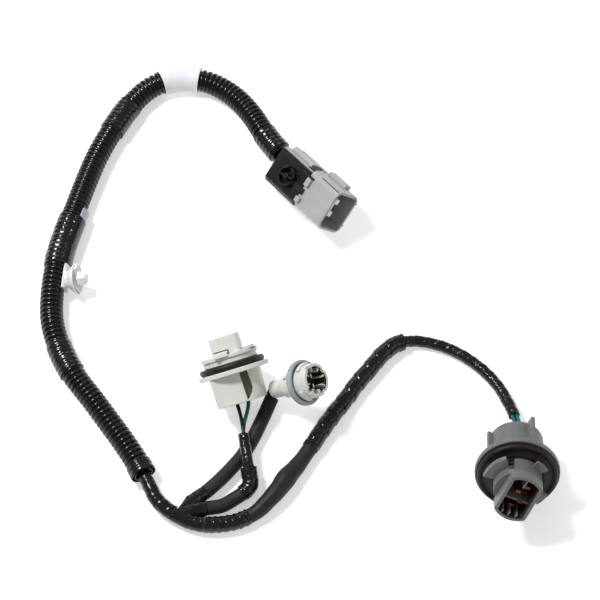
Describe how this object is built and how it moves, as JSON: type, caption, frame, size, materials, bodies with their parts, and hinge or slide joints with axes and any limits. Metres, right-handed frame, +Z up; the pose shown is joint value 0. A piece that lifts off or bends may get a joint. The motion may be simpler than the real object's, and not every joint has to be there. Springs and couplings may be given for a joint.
{
  "type": "wiring harness",
  "caption": "Tail-lamp wiring harness: a multi-way connector, a corrugated conduit with a wrapped label and a push-in clip, and sleeved branches that end in bulb sockets.",
  "frame": {"origin": "on the surface the harness lies on, under the middle of its bounding box", "axes": "+Z up from that surface, +X towards the tail bulb socket's side, +Y towards the conduit's upper bend, away from the sockets"},
  "size_m": [0.2523, 0.2663, 0.0408],
  "materials": {
    "grey_nylon": "satin moulded nylon",
    "white_nylon": "satin moulded nylon",
    "black_nylon": "satin moulded nylon",
    "natural_nylon": "natural nylon, slightly glossy",
    "conduit_plastic": "corrugated plastic, slightly glossy",
    "label_film": "bare white film",
    "vinyl_tape": "glossy vinyl tape",
    "sleeve_vinyl": "soft matte vinyl tube",
    "light_socket": "satin moulded plastic",
    "mid_socket": "satin moulded plastic",
    "black_rubber": "matte rubber",
    "blue_grey_rubber": "matte rubber",
    "wire_black": "insulated wire",
    "wire_green": "insulated wire",
    "wire_teal": "insulated wire",
    "tinned_brass": "tinned",
    "copper": "bare contact metal"
  },
  "bodies": {
    "root": {"connector_housing": "grey_nylon", "connector_terminal_lock": "white_nylon", "connector_clip_holder": "black_nylon", "push_in_clip": "natural_nylon", "corrugated_conduit": "conduit_plastic", "identification_label": "label_film", "clip_tape_wrap": "vinyl_tape", "conduit_end_tape": "vinyl_tape", "connector_end_tape": "vinyl_tape", "upper_tape_wrap": "vinyl_tape", "lower_tape_wrap": "vinyl_tape", "trunk_tape": "vinyl_tape", "splice_pack": "vinyl_tape", "turn_bend_tape": "vinyl_tape", "turn_stem_tape": "vinyl_tape", "tail_spiral_tape": "vinyl_tape", "tail_sleeve_tape": "vinyl_tape", "tail_lead_tape": "vinyl_tape", "backup_sleeve": "sleeve_vinyl", "turn_sleeve": "sleeve_vinyl", "tail_sleeve": "sleeve_vinyl", "turn_socket": "light_socket", "backup_socket": "light_socket", "tail_socket": "mid_socket", "connector_wire_seal": "black_rubber", "turn_gasket": "black_rubber", "tail_gasket": "black_rubber", "backup_gasket": "blue_grey_rubber", "trunk_wire_1": "wire_black", "trunk_wire_2": "wire_black", "trunk_wire_3": "wire_black", "trunk_wire_4": "wire_black", "trunk_wire_5": "wire_black", "backup_wire_1": "wire_black", "backup_wire_2": "wire_black", "turn_wire_1": "wire_black", "tail_wire_2": "wire_black", "turn_wire_2": "wire_green", "tail_wire_1": "wire_teal", "tail_wire_3": "wire_teal", "connector_pin_1": "tinned_brass", "connector_pin_2": "tinned_brass", "connector_pin_3": "tinned_brass", "connector_pin_4": "tinned_brass", "connector_pin_5": "tinned_brass", "turn_contact_1": "tinned_brass", "turn_contact_2": "tinned_brass", "backup_contact_1": "tinned_brass", "backup_contact_2": "tinned_brass", "tail_contact_1": "copper", "tail_contact_2": "copper", "tail_contact_3": "copper", "tail_contact_4": "copper"}
  },
  "joints": []
}
